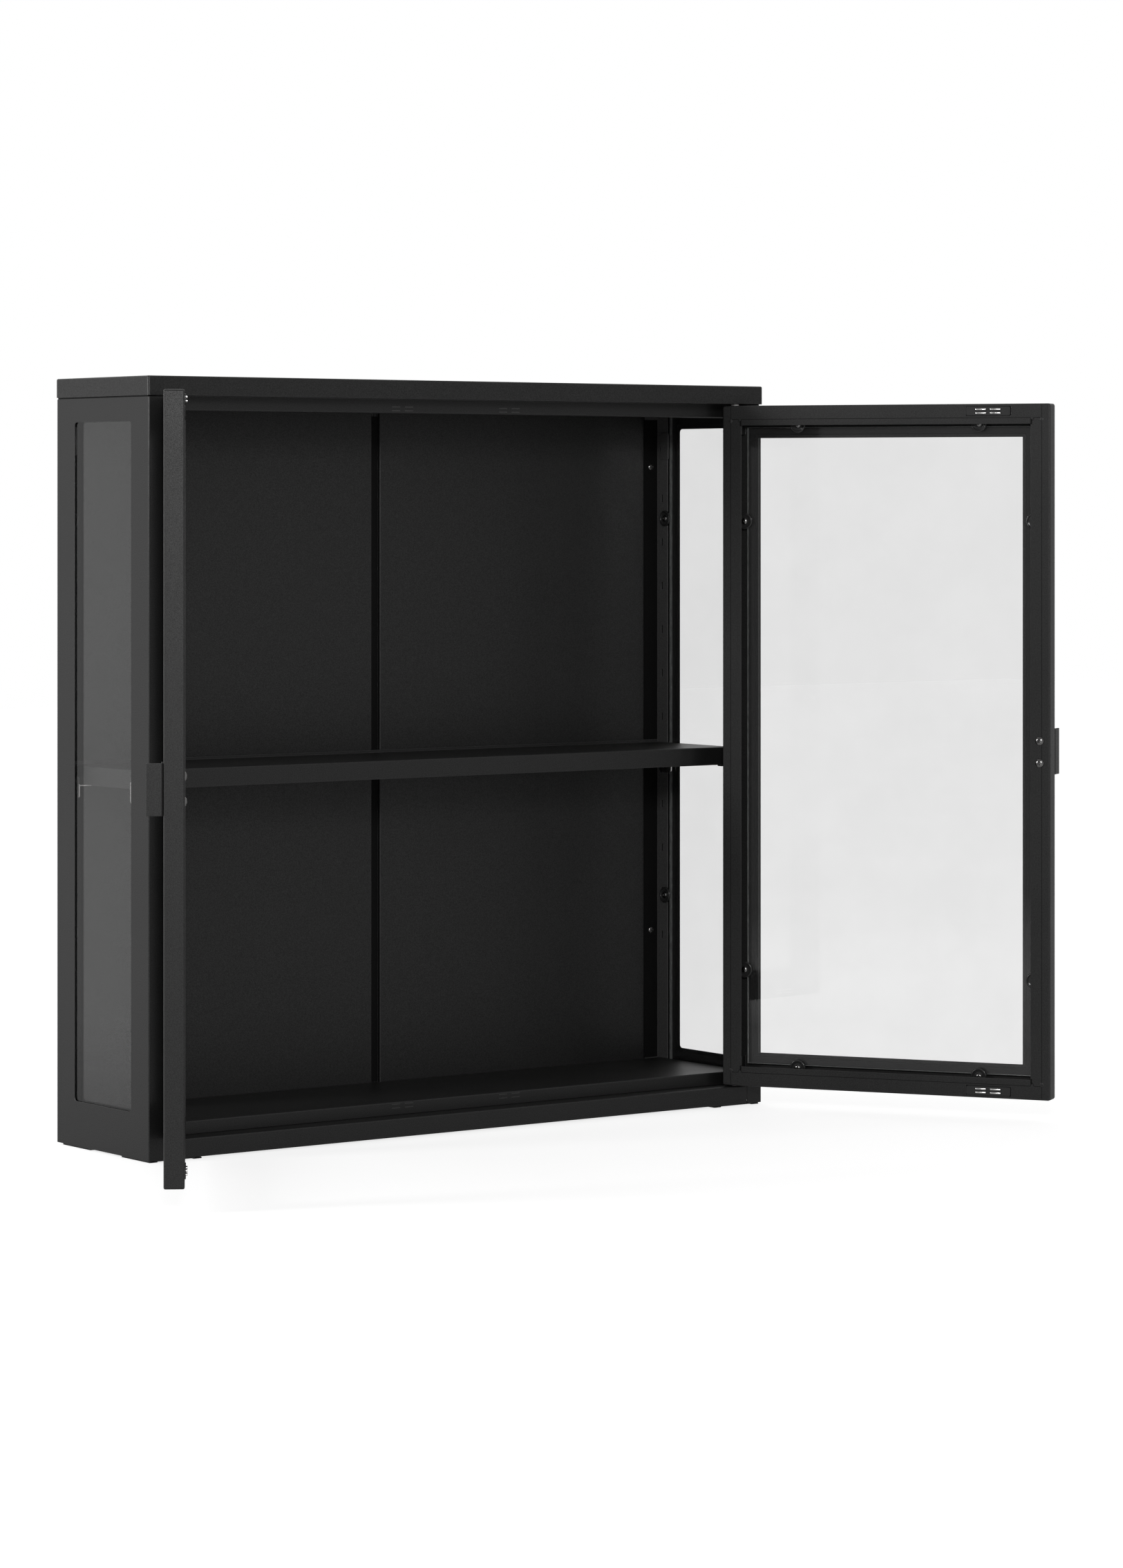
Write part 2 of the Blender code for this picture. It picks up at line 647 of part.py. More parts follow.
def make_door_frame(side, hinge):
    """Folded channel round the pane, with a pivot block in each hinge corner."""
    low, high = above_base(DOOR_LOW), above_base(DOOR_HIGH)

    def ring(inset, depth):
        ring_low = (from_hinge(DOOR_WIDTH) + inset, low + inset)
        ring_high = (from_hinge(0) - inset, high - inset)
        radius = max(DOOR_CORNER - inset, MITRE)
        return [(x, from_face(depth), z) for x, z in rounded_rectangle(ring_low, ring_high, radius)]

    shape = loft([ring(*point) for point in door_section()], closed=True)
    frame = put(f"{sided(side)}_door_frame", shape, "black_steel", side, parent=hinge)
    half = SHEET / 2
    for start, end in ((low, low + PIVOT_BLOCK_HEIGHT), (high - PIVOT_BLOCK_HEIGHT, high)):
        inner_end, outer_end = (end, start + half) if start == low else (start, end - half)
        block_low = (from_hinge(PIVOT_BLOCK_WIDTH), from_face(half), min(inner_end, outer_end))
        block_high = (from_hinge(half), from_face(PIVOT_BLOCK_DEPTH), max(inner_end, outer_end))
        combine(frame, block(block_low, block_high), "UNION", side)
    depth = PIN_IN_DOOR + HOLE_PAST_PIN
    radius = PIN_RADIUS + RUNNING_GAP
    holes = [
        bore("Z", (0, 0), radius, low - CUT_BEYOND, low + depth),
        bore("Z", (0, 0), radius, high - depth, high + CUT_BEYOND),
    ]
    for middle in magnet_levels():
        centre = from_hinge(DOOR_WIDTH - MAGNET_FROM_FREE_EDGE)
        half_length = MAGNET_LENGTH / 2 + GAP
        half_height = MAGNET_HEIGHT / 2 + GAP
        holes.append(
            block(
                (centre - half_length, from_face(DOOR_THICKNESS - SHEET - CUT_BEYOND), middle - half_height),
                (centre + half_length, from_face(DOOR_THICKNESS + CUT_BEYOND), middle + half_height),
            )
        )
    combine(frame, gathered(holes), "DIFFERENCE", side)


def make_door_glass(side, hinge):
    low = (from_hinge(DOOR_WIDTH - PANE_INSET), from_face(PANE_FRONT), above_base(DOOR_LOW + PANE_INSET))
    high = (from_hinge(PANE_INSET), from_face(PANE_FRONT + GLASS), above_base(DOOR_HIGH - PANE_INSET))
    put(f"{sided(side)}_door_glass", block(low, high), "glass", side, parent=hinge)


def magnet_levels():
    return (above_base(DOOR_LOW + MAGNET_INSET), above_base(DOOR_HIGH - MAGNET_INSET))


def make_magnet(side, hinge, end):
    """Magnet catch let into the rear flange: a housing with four pole plates that stand proud of it."""
    low_level, high_level = magnet_levels()
    place = (
        side * from_hinge(DOOR_WIDTH - MAGNET_FROM_FREE_EDGE),
        from_face(DOOR_THICKNESS),
        high_level if end == "upper" else low_level,
    )
    corner = (MAGNET_LENGTH / 2, MAGNET_HEIGHT / 2)
    outline = rounded_rectangle((-corner[0], -corner[1]), corner, MAGNET_CORNER, 2)
    shape = prism(outline, "Y", -MAGNET_DEPTH, 0)
    magnet = put(f"{sided(side)}_{end}_magnet", shape, "black_plastic", side, place, hinge)
    poles = []
    for x in (-POLE_SPREAD / 2, POLE_SPREAD / 2):
        for z in (-POLE_PITCH / 2, POLE_PITCH / 2):
            low = (x - POLE_LENGTH / 2, -SHEET, z - POLE_WIDTH / 2)
            high = (x + POLE_LENGTH / 2, POLE_PROUD, z + POLE_WIDTH / 2)
            poles.append(block(low, high))
    combine(magnet, gathered(poles), "UNION", side)


def make_handle(side, hinge):
    """Angle pull: a flange flat on the outer face and a tab flush with the door's free edge."""
    half = HANDLE_SHEET / 2
    face = from_face(0) - GAP - half
    edge = from_hinge(DOOR_WIDTH) + half
    path = ((edge + HANDLE_FLANGE, face), (edge, face), (edge, from_face(-HANDLE_REACH)))
    middle = above_base(HANDLE_MIDDLE)
    outline = bent_sheet(path, HANDLE_SHEET)
    shape = prism(outline, "Z", middle - HANDLE_HEIGHT / 2, middle + HANDLE_HEIGHT / 2)
    put(f"{sided(side)}_handle", shape, "black_steel", side, parent=hinge)


def retainer_places():
    """(name, distance from the hinge edge, level) of the eight glass retainers of a door."""
    stiles = {"hinge": RETAINER_INSET, "free": DOOR_WIDTH - RETAINER_INSET}
    rails = {"lower": DOOR_LOW + RETAINER_INSET, "upper": DOOR_HIGH - RETAINER_INSET}
    for stile, distance in stiles.items():
        yield f"{stile}_stile_lower", distance, DOOR_LOW + RETAINER_FROM_CORNER
        yield f"{stile}_stile_upper", distance, DOOR_HIGH - RETAINER_FROM_CORNER
    for rail, level in rails.items():
        yield f"{rail}_rail_hinge", RETAINER_FROM_END, level
        yield f"{rail}_rail_free", DOOR_WIDTH - RETAINER_FROM_END, level


def make_retainer(side, hinge, name, distance, level):
    """Round clamp: a boss beside the pane, a disc over its edge and a domed screw head."""
    pane_back = PANE_FRONT + GLASS + GAP
    profile = (
        (BOSS_RADIUS, SHEET + GAP),
        (BOSS_RADIUS, pane_back),
        (DISC_RADIUS, pane_back),
        (DISC_RADIUS, pane_back + DISC_EDGE),
        (DISC_TOP_RADIUS, pane_back + DISC_HEIGHT),
        (SCREW_RADIUS, pane_back + DISC_HEIGHT),
        (SCREW_SHOULDER_RADIUS, pane_back + SCREW_SHOULDER),
        (SCREW_TOP_RADIUS, pane_back + SCREW_TOP),
    )
    shape = turned([(radius, from_face(depth)) for radius, depth in profile], "Y", RETAINER_STEPS)
    place = (side * from_hinge(distance), 0, above_base(level))
    put(f"{sided(side)}_{name}_retainer", shape, "black_plastic", location=place, parent=hinge)


def make_door(side):
    hinge = bpy.data.objects.new(f"{sided(side)}_hinge_axis", None)
    bpy.context.scene.collection.objects.link(hinge)
    hinge.location = (side * pivot_x(), behind_front(PIVOT_BEHIND_FACE), 0)
    hinge.rotation_euler.z = side * DOOR_OPEN
    make_door_frame(side, hinge)
    make_door_glass(side, hinge)
    make_handle(side, hinge)
    for end in ("lower", "upper"):
        make_magnet(side, hinge, end)
    for place in retainer_places():
        make_retainer(side, hinge, *place)


def main():
    clear_scene()
    make_top_cap()
    make_header_rail()
    make_base_rail()
    make_floor_tray()
    make_joint_strip()
    make_shelf()
    for side in (-1, 1):
        make_side_panel(side)
        make_side_glass(side)
        make_rear_upright(side)
        make_front_upright(side)
        make_back(side)
        make_corner_plate(side)
        for end in ("lower", "upper"):
            make_pin(side, end)
            make_washer(side, end)
        for end in ("front", "rear"):
            make_shelf_clip(side, end)
            make_foot(side, end)
        make_door(side)


main()
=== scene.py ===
import json
import math

import bmesh
import bpy
from mathutils import Matrix, Vector


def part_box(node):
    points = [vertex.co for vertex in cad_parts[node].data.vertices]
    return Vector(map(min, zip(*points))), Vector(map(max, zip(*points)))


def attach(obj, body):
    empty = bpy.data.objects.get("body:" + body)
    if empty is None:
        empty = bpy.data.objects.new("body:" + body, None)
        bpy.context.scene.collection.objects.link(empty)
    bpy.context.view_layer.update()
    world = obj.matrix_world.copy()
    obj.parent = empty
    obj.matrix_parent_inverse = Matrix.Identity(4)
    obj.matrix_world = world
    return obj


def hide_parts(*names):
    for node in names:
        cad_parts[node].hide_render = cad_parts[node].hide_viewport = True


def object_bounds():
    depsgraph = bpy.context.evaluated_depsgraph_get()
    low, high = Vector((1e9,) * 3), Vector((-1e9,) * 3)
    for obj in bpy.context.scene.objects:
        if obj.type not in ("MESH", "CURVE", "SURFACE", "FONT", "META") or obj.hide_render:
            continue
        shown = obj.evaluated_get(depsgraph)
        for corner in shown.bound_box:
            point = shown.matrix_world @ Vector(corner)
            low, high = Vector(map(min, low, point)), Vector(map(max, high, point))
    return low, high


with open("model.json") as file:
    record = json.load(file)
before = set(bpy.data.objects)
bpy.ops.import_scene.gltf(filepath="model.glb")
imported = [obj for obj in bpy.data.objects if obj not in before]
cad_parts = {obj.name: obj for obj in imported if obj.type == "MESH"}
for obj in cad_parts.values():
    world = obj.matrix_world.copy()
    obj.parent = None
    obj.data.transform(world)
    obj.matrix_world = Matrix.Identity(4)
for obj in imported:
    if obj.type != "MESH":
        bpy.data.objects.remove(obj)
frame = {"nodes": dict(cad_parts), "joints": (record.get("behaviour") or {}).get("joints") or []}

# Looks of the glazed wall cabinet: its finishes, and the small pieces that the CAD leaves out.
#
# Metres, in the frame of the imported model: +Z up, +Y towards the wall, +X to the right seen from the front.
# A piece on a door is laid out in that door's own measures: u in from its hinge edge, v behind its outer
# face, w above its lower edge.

cad_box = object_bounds()

SHEET = 0.001
DEGREE = math.pi / 180

# Camera: level, with its optical axis above the middle of the picture
CAMERA_PLACE = (-2.9016, -4.2796, 0.2736)
CAMERA_YAW = 36.44 * DEGREE
CAMERA_LENS = 107.9
CAMERA_SENSOR = 36
CAMERA_SHIFT = -0.1814

# Light
BACKDROP_EDGE = (0.10, 0.60)  # along Y, where the dim room ends and the pale backdrop starts
BACKDROP_ACROSS, BACKDROP_LEVELS = (-0.45, 0.1), (0.64, 1.0)  # along X, and how bright it is there
BACKDROP_END, BACKDROP_END_LEVEL = (0.70, 0.97), 0.30  # along X, where it dims again at the right
ROOM_ACROSS, ROOM_LEVELS = (-0.6, 0.5), (0.20, 0.46)  # along X, and how bright the room is there
FLOOR_REACH = 9  # from the middle to each edge
# The floor thins out beyond both sides of the view: direction, start and end along it, what is left at each
FLOOR_LEFT = ((1.0, -0.569, 0.0), -1.6, -0.55, 0.0, 1.0)
FLOOR_RIGHT = ((1.0, -0.941, 0.0), 1.20, 2.6, 1.0, 0.0)
FLOOR_GLOW = (0.16, 0.78)  # in reflections, and as the camera sees it
# Softboxes: name, place, what it is turned to, width and height, power in watts
SOFTBOXES = (
    ("key_softbox", (-3.3, 0.48, 0.9), (0, -0.3, 0), (0.6, 0.9), 56),
    ("front_softbox", (-2.2, -3.6, 1.2), (-0.2, -0.3, 0), (0.6, 0.6), 46),
)

# Rounding of edges
CUT_EDGE = 0.00022
PIN_EDGE, CLIP_EDGE, HANDLE_EDGE, FOOT_EDGE = 0.0002, 0.0003, 0.0003, 0.0008
WELD_DISTANCE = 0.00001
SHARP_FROM = 42 * DEGREE

# Black strips of painted shade, set in gaps and recesses that are only in shade
GAP = 0.0003  # the clearance it keeps
PAN_EDGE, PAN_INNER_EDGE = 0.3712, 0.0051  # edges of the back pans, from the middle of the cabinet
SLOT_Y, SHADE_STRIP_REACH = -0.0120, 0.004  # middle of the uprights' slots, and how far the painted shade strip reaches to either side of it

# Doors: seams of the rear flange, measured from the door's edges
RAIL_SEAM, STILE_SEAM = 0.0152, 0.0095
SEAM_WIDTH, SEAM_STANDS, SEAM_CHAMFER = 0.0005, 0.00004, 0.0022
DOOR_FLANGE = 0.022
RELIEF_WIDTH, RELIEF_LENGTH = 0.0017, 0.0040
NOTCH_WIDTH, NOTCH_DEPTH = 0.0042, 0.0032
TACK_RADIUS, TACK_HEIGHT = 0.0021, 0.0004

# Glass, and the black strips that it lies on
ARRIS, GLASS_SHARP_FROM = 0.0005, 20 * DEGREE
TOUCH = 0.0001  # what a strip or a clamp keeps clear of its neighbours
STRIP_CORNERS = (0.003, 0.001)  # outside and inside
STRIP_INSET, STRIP_WIDTH = 0.0255, 0.0065
SIDE_STRIP_INSET = (0.003, 0.006)  # along Y and Z
SIDE_STRIP_WIDTH, SIDE_STRIP_REACH = 0.007, 0.0005

# Black strip of painted shade in the gap under the cap
GAP_SHADE_INSET, GAP_SHADE_WIDTH, GAP_SHADE_RISE = 0.0011, 0.003, 0.0017

# Fasteners
SCREW_SIZES = {  # radius and height of the head, and how far the shank goes in
    "handle": (0.0048, 0.0024, 0.0030),
    "back": (0.0040, 0.0020, 0.0015),
    "retainer": (0.0036, 0.0019, 0.0008),
}
RETAINER_RADIUS, RETAINER_HEIGHT, RETAINER_RIM = 0.0090, 0.0026, 0.0011
RETAINER_SEAT, RETAINER_SCREW_TURN = 0.0014, 25 * DEGREE
SIDE_RETAINER_LEVELS, SIDE_RETAINER_OVERLAP = (0.252, -0.179), 0.0032
HANDLE_SCREW_FROM_EDGE, HANDLE_SCREW_SPREAD = 0.012, 0.024
HANDLE_SCREW_TURNS = (20 * DEGREE, 55 * DEGREE)
BACK_SCREW_X, BACK_SCREW_LEVELS = 0.383, (0.311, -0.220)

# Magnet catches
POLE_LENGTH, POLE_WIDTH, POLE_PROUD = 0.0117, 0.0016, 0.0025
POLE_PITCH, POLE_SPREAD = 0.0040, 0.0167
HOUSING_PROUD, HOUSING_CORNER, HOUSING_EASE = 0.0010, 0.0018, 0.0003
POLE_CORNER, POLE_EASE = 0.0003, 0.0002
MARK_SUNK, MARK_STANDS = 0.0001, 0.00004


# Where things are


def side_sign(side):
    return 1 if side == "right" else -1


def hinge_of(side):
    """The record's joint that a door swings on."""
    return next(joint for joint in frame["joints"] if joint["name"] == f"{side}_door_swing")


def box_through(matrix, node):
    """Lowest and highest corner of a CAD node after a matrix has moved it."""
    points = [matrix @ vertex.co for vertex in frame["nodes"][node].data.vertices]
    low = Vector([min(point[axis] for point in points) for axis in range(3)])
    high = Vector([max(point[axis] for point in points) for axis in range(3)])
    return low, high


def door_place(side):
    """Matrix from a door's (u, v, w) to the frame at rest, and the door's size in those measures."""
    joint = hinge_of(side)
    pivot = Matrix.Translation(joint["pos_m"])
    opening = -joint["axis"][2] * joint["range_deg"][1] * DEGREE
    swung = pivot @ Matrix.Rotation(opening, 4, "Z") @ pivot.inverted()
    low, high = box_through(swung.inverted(), f"{side}_door_frame")
    sign = side_sign(side)
    hinge_edge = high.x if sign > 0 else low.x
    layout = Matrix.Translation((hinge_edge, low.y, low.z)) @ Matrix.Diagonal((-sign, 1, 1, 1))
    return swung @ layout, high - low


DOORS = {side: door_place(side) for side in ("left", "right")}


def box_in(place, node):
    """Lowest and highest corner of a CAD node in a door's measures."""
    return box_through(place.inverted(), node)


def outermost(node):
    """How far a CAD node reaches from the middle of the cabinet, to the left or the right."""
    low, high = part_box(node)
    return max(abs(low.x), abs(high.x))


def facing(point, direction):
    """Matrix that stands a piece on a point with its own +Z along direction, which is level."""
    forward = Vector(direction).normalized()
    up = Vector((0, 0, 1))
    across = up.cross(forward)
    turn = Matrix((across, up, forward)).transposed().to_4x4()
    return Matrix.Translation(point) @ turn


# Shapes


def grid_skin(rings, closed=False):
    """Skin over rings of equal length: a tube with both ends filled or, if closed, a loop of rings."""
    shape = bmesh.new()
    rows = [[shape.verts.new(point) for point in ring] for ring in rings]
    count = len(rows[0])
    for index in range(len(rows) if closed else len(rows) - 1):
        row, following = rows[index], rows[(index + 1) % len(rows)]
        for corner in range(count):
            beside = (corner + 1) % count
            shape.faces.new((row[corner], row[beside], following[beside], following[corner]))
    if not closed:
        shape.faces.new(rows[0][::-1])
        shape.faces.new(rows[-1])
    return shape


def layered(layers):
    """Solid through upright outlines of (x, z) points, each at its own depth."""
    return grid_skin([[(x, depth, z) for x, z in outline] for outline, depth in layers])


def turned(profile, steps):
    """Solid of revolution about Z, from (radius, height) pairs."""
    rings = []
    for radius, height in profile:
        angles = [2 * math.pi * step / steps for step in range(steps)]
        rings.append([(radius * math.cos(angle), radius * math.sin(angle), height) for angle in angles])
    return grid_skin(rings)


def arc(centre, radius, start, end, steps):
    """Points of an arc, in degrees, as (x, y) pairs."""
    angles = [(start + (end - start) * step / steps) * DEGREE for step in range(steps + 1)]
    return [(centre[0] + radius * math.cos(angle), centre[1] + radius * math.sin(angle)) for angle in angles]


def dome(radius, height, steps):
    """Profile of a dome from its rim up, without its top, as (radius, height) pairs."""
    angles = [90 * DEGREE * step / steps for step in range(steps)]
    return [(radius * math.cos(angle), height * math.sin(angle)) for angle in angles]


def rounded(low, high, radius, steps):
    """Rectangle with round corners, anticlockwise."""
    return [
        *arc((high[0] - radius, high[1] - radius), radius, 0, 90, steps),
        *arc((low[0] + radius, high[1] - radius), radius, 90, 180, steps),
        *arc((low[0] + radius, low[1] + radius), radius, 180, 270, steps),
        *arc((high[0] - radius, low[1] + radius), radius, 270, 360, steps),
    ]


def block(low, high):
    outline = ((low[0], low[1]), (high[0], low[1]), (high[0], high[1]), (low[0], high[1]))
    return grid_skin([[(x, y, z) for x, y in outline] for z in (low[2], high[2])])


def join(shapes):
    """Several shapes in one bmesh."""
    whole = bmesh.new()
    for shape in shapes:
        mesh = bpy.data.meshes.new("part")
        shape.to_mesh(mesh)
        shape.free()
        whole.from_mesh(mesh)
        bpy.data.meshes.remove(mesh)
    return whole


def mesh_of(name, shape, sharp_from=SHARP_FROM):
    bmesh.ops.recalc_face_normals(shape, faces=shape.faces)
    mesh = bpy.data.meshes.new(name)
    shape.to_mesh(mesh)
    shape.free()
    mesh.shade_smooth()
    mesh.set_sharp_from_angle(angle=sharp_from)
    return mesh


def carved(name, shape, cutters):
    """Mesh of a shape less each of the cutters."""
    thing = bpy.data.objects.new(name, mesh_of(name, shape))
    tools = []
    bpy.context.scene.collection.objects.link(thing)
    for index, cutter in enumerate(cutters):
        tool = bpy.data.objects.new(f"{name}_tool_{index}", mesh_of(f"{name}_tool", cutter))
        bpy.context.scene.collection.objects.link(tool)
        modifier = thing.modifiers.new(f"cut_{index}", "BOOLEAN")
        modifier.object = tool
        modifier.operation = "DIFFERENCE"
        modifier.solver = "EXACT"
        tools.append(tool)
    bpy.context.view_layer.update()
    graph = bpy.context.evaluated_depsgraph_get()
    mesh = bpy.data.meshes.new_from_object(thing.evaluated_get(graph), depsgraph=graph)
    mesh.shade_smooth()
    mesh.set_sharp_from_angle(angle=SHARP_FROM)
    for used in (thing, *tools):
        bpy.data.objects.remove(used)
    return mesh


# Materials


class Recipe:
    """Node tree of one material, with short calls for the nodes it is made of."""

    def __init__(self, name):
        self.material = bpy.data.materials.new(name)
        self.material.use_nodes = True
        self.tree = self.material.node_tree
        self.tree.nodes.clear()
        self.output = self.tree.nodes.new("ShaderNodeOutputMaterial")
        self.place = self.tree.nodes.new("ShaderNodeTexCoord").outputs["Object"]

    def node(self, kind, inputs, **settings):
        made = self.tree.nodes.new(f"ShaderNode{kind}")
        for key, value in settings.items():
            setattr(made, key, value)
        for key, value in inputs.items():
            if isinstance(value, bpy.types.NodeSocket):
                self.tree.links.new(value, made.inputs[key])
            else:
                made.inputs[key].default_value = value
        return made

    def stretched(self, scale):
        return self.node("Mapping", {"Vector": self.place, "Scale": scale}).outputs[0]

    def noise(self, scale, detail, roughness=0.5, place=None):
        inputs = {"Vector": place or self.place, "Scale": scale, "Detail": detail, "Roughness": roughness}
        return self.node("TexNoise", inputs).outputs[0]

    def remap(self, value, low, high, out_low, out_high):
        inputs = {0: value, 1: low, 2: high, 3: out_low, 4: out_high}
        return self.node("MapRange", inputs).outputs[0]

    def compute(self, operation, first, second):
        return self.node("Math", {0: first, 1: second}, operation=operation).outputs[0]

    def mix(self, share, first, second):
        return self.node("Mix", {0: share, 6: first, 7: second}, data_type="RGBA").outputs[2]

    def edges(self, radius):
        """1 along convex and concave edges and 0 away from them."""
        bevel = self.node("Bevel", {"Radius": radius}, samples=4).outputs[0]
        true = self.node("NewGeometry", {}).outputs["True Normal"]
        along = self.node("VectorMath", {0: bevel, 1: true}, operation="DOT_PRODUCT").outputs["Value"]
        return self.remap(along, 0.995, 0.86, 0.0, 1.0)

    def bump(self, height, strength, distance, rounding=None):
        inputs = {"Height": height, "Strength": strength, "Distance": distance}
        if rounding:
            inputs["Normal"] = self.node("Bevel", {"Radius": rounding}, samples=4).outputs[0]
        return self.node("Bump", inputs).outputs[0]

    def principled(self, inputs):
        shader = self.node("BsdfPrincipled", inputs)
        self.tree.links.new(shader.outputs[0], self.output.inputs["Surface"])
        return self.material


def grey(level, warmth=0.0):
    return (level * (1 + warmth), level, level * (1 - warmth), 1)


def powder_coat(name, dark, light):
    """Fine satin powder coat on steel: a close grain, faint clouding, and edges worn thin and shiny, also
    made lighter and metallic as a painted highlight along the bends.
    """
    recipe = Recipe(name)
    grain = recipe.noise(1150, 3, 0.6)
    clouds = recipe.noise(9, 3, 0.55)
    wear = recipe.remap(recipe.noise(45, 4, 0.6), 0.32, 0.68, 0.5, 1.0)
    # Edge mask: partly wear, partly a painted highlight that draws the bright lines of light along the bends
    wear_and_highlight = recipe.compute("MULTIPLY", recipe.edges(0.0008), wear)
    fine = recipe.mix(recipe.remap(grain, 0.35, 0.65, 0.0, 1.0), grey(dark), grey(light))
    middle = grey((dark + light) * 0.6, 0.02)
    clouded = recipe.mix(recipe.remap(clouds, 0.35, 0.65, 0.0, 0.35), fine, middle)
    satin = recipe.remap(clouds, 0.3, 0.7, 0.41, 0.47)
    flecked = recipe.compute("ADD", satin, recipe.remap(grain, 0.35, 0.65, 0.07, -0.07))
    return recipe.principled({
        # Edges turn lighter grey and metallic: a painted highlight on top of the wear
        "Base Color": recipe.mix(wear_and_highlight, clouded, grey(0.13)),
        "Metallic": wear_and_highlight,
        "Roughness": recipe.compute("SUBTRACT", flecked, recipe.compute("MULTIPLY", wear_and_highlight, 0.10)),
        "Specular IOR Level": recipe.remap(grain, 0.35, 0.65, 0.40, 0.54),
        "Normal": recipe.bump(grain, 0.55, 0.00012, 0.0005),
    })


def matt_black():
    """Matt black primer inside the seams of the doors, and black strips of painted shade in the gaps and
    recesses where there is only shade.
    """
    recipe = Recipe("seam_primer_and_painted_shade")
    grain = recipe.noise(800, 3, 0.6)
    colour = recipe.mix(grain, grey(0.0025), grey(0.0060))
    return recipe.principled({
        "Base Color": colour,
        "Roughness": recipe.remap(grain, 0.3, 0.7, 0.7, 0.9),
        "Specular IOR Level": 0.15,
        "Normal": recipe.bump(grain, 0.3, 0.00005),
    })


def zinc(name, level, roughness, scratches):
    """Bright plated steel with a short brushed grain and faint clouding."""
    recipe = Recipe(name)
    brushed = recipe.noise(900, 3, 0.6, recipe.stretched((1.0, 1.0, 0.08)))
    clouds = recipe.noise(220, 2)
    wear_and_highlight = recipe.edges(0.0004)
    share = recipe.remap(clouds, 0.3, 0.7, 0.0, 1.0)
    shade = recipe.mix(share, grey(level * 0.82, 0.01), grey(level, 0.015))
    # Lighter along the edges: partly wear of the plating, partly a painted highlight on the rounded edges
    colour = recipe.mix(wear_and_highlight, shade, grey(min(level * 1.25, 0.9)))
    return recipe.principled({
        "Base Color": colour,
        "Metallic": 1.0,
        "Roughness": recipe.remap(brushed, 0.3, 0.7, roughness * 0.8, roughness * 1.3),
        "Normal": recipe.bump(brushed, scratches, 0.00002),
    })


def moulded(name, level, roughness, grain_strength, warmth=0.0):
    """Moulded plastic: a faint spark-eroded grain, and slightly shinier edges that are also painted lighter
    as a highlight.
    """
    recipe = Recipe(name)
    grain = recipe.noise(1900, 3, 0.6)
    flow = recipe.noise(130, 2)
    edges = recipe.edges(0.0005)
    shade = recipe.mix(flow, grey(level * 0.8, warmth), grey(level * 1.15, warmth))
    # Lighter colour along the edges and rims is a painted highlight
    colour = recipe.mix(edges, shade, grey(min(level * 1.8, 0.85), warmth))
    flecked = recipe.remap(grain, 0.3, 0.7, roughness - 0.06, roughness + 0.06)
    return recipe.principled({
        "Base Color": colour,
        "Roughness": recipe.compute("SUBTRACT", flecked, recipe.compute("MULTIPLY", edges, 0.08)),
        "Normal": recipe.bump(grain, grain_strength, 0.00004),
    })


def clear_glass():
    """Float glass: it mirrors by its angle on both faces and passes the rest, a little darkened."""
    recipe = Recipe("clear_float_glass")
    back = recipe.node("NewGeometry", {}).outputs["Backfacing"]
    index = recipe.remap(back, 0.0, 1.0, 1.5, 1 / 1.5)
    mirrored = recipe.node("Fresnel", {"IOR": index}).outputs[0]
    film = recipe.noise(14, 4, 0.6)
    passed = recipe.mix(recipe.remap(film, 0.3, 0.7, 0.0, 1.0), grey(0.894), grey(0.911))
    through = recipe.node("BsdfTransparent", {"Color": passed}).outputs[0]
    smear = recipe.remap(film, 0.35, 0.75, 0.0, 0.06)
    mirror = recipe.node("BsdfGlossy", {"Color": grey(1.0), "Roughness": smear}).outputs[0]
    both = recipe.node("MixShader", {0: mirrored, 1: through, 2: mirror}).outputs[0]
    recipe.tree.links.new(both, recipe.output.inputs["Surface"])
    return recipe.material


def glass_edge():
    """Ground edge of float glass: green-grey, with the fine lines of the wheel."""
    recipe = Recipe("ground_glass_edge")
    lines = recipe.noise(700, 3, 0.6, recipe.stretched((1.0, 1.0, 0.15)))
    share = recipe.remap(lines, 0.3, 0.7, 0.0, 1.0)
    return recipe.principled({
        "Base Color": recipe.mix(share, (0.100, 0.104, 0.102, 1), (0.200, 0.207, 0.204, 1)),
        "Roughness": recipe.remap(lines, 0.3, 0.7, 0.12, 0.30),
        "Normal": recipe.bump(lines, 0.25, 0.00004),
    })


def floor_finish():
    """Pale seamless floor that glows, so that its shadows stay soft, and thins out far from the object."""
    recipe = Recipe("pale_floor")
    mottle = recipe.noise(3, 3)

    def along(direction, start, end, low, high):
        reach = recipe.node("VectorMath", {0: recipe.place, 1: direction}, operation="DOT_PRODUCT")
        return recipe.remap(reach.outputs["Value"], start, end, low, high)

    seen = recipe.node("LightPath", {}).outputs["Is Camera Ray"]
    surface = recipe.node("BsdfPrincipled", {
        "Base Color": recipe.mix(mottle, grey(0.36), grey(0.40)),
        "Roughness": recipe.remap(mottle, 0.3, 0.7, 0.75, 0.9),
        "Emission Color": grey(1.0),
        "Emission Strength": recipe.remap(seen, 0.0, 1.0, *FLOOR_GLOW),
    }).outputs[0]
    nothing = recipe.node("BsdfTransparent", {"Color": grey(1.0)}).outputs[0]
    share = recipe.compute("MULTIPLY", along(*FLOOR_LEFT), along(*FLOOR_RIGHT))
    both = recipe.node("MixShader", {0: share, 1: nothing, 2: surface}).outputs[0]
    recipe.tree.links.new(both, recipe.output.inputs["Surface"])
    return recipe.material


